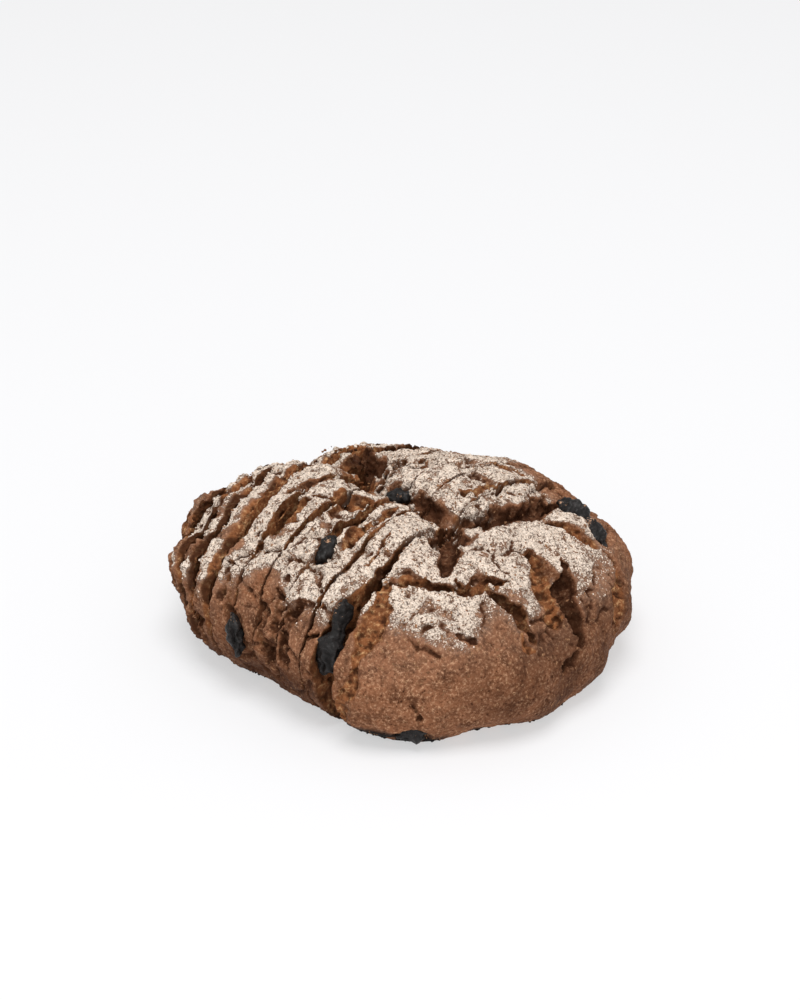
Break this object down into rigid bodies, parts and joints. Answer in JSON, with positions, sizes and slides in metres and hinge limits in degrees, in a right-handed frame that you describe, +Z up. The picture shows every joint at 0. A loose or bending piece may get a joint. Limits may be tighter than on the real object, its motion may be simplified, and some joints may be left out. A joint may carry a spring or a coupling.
{
  "type": "rye bread loaf",
  "caption": "Round floured rye loaf with cracked crust and charred dried fruit, cut across one side into slices that fan away from an uncut heel.",
  "frame": {"origin": "on the table under the middle of the whole loaf", "axes": "+Z up, +X across the cuts from the end slice to the uncut heel, +Y along the cuts"},
  "size_m": [0.214, 0.1976, 0.0848],
  "materials": {
    "crust": "baked rye crust dusted with flour, red-brown crumb on the cut faces",
    "dried_fruit": "charred dried fruit, slightly glossy",
    "bran": "bran flakes and coarse flour on the crust"
  },
  "bodies": {
    "root": {"heel": "crust", "slice_01": "crust", "slice_02": "crust", "slice_03": "crust", "slice_04": "crust", "slice_05": "crust", "slice_06": "crust", "slice_07": "crust", "slice_08": "crust", "slice_09": "crust", "slice_10": "crust", "fruit_front": "dried_fruit", "fruit_gap": "dried_fruit", "fruit_top": "dried_fruit", "fruit_side": "dried_fruit", "fruit_back": "dried_fruit", "fruit_base": "dried_fruit"}
  },
  "joints": []
}
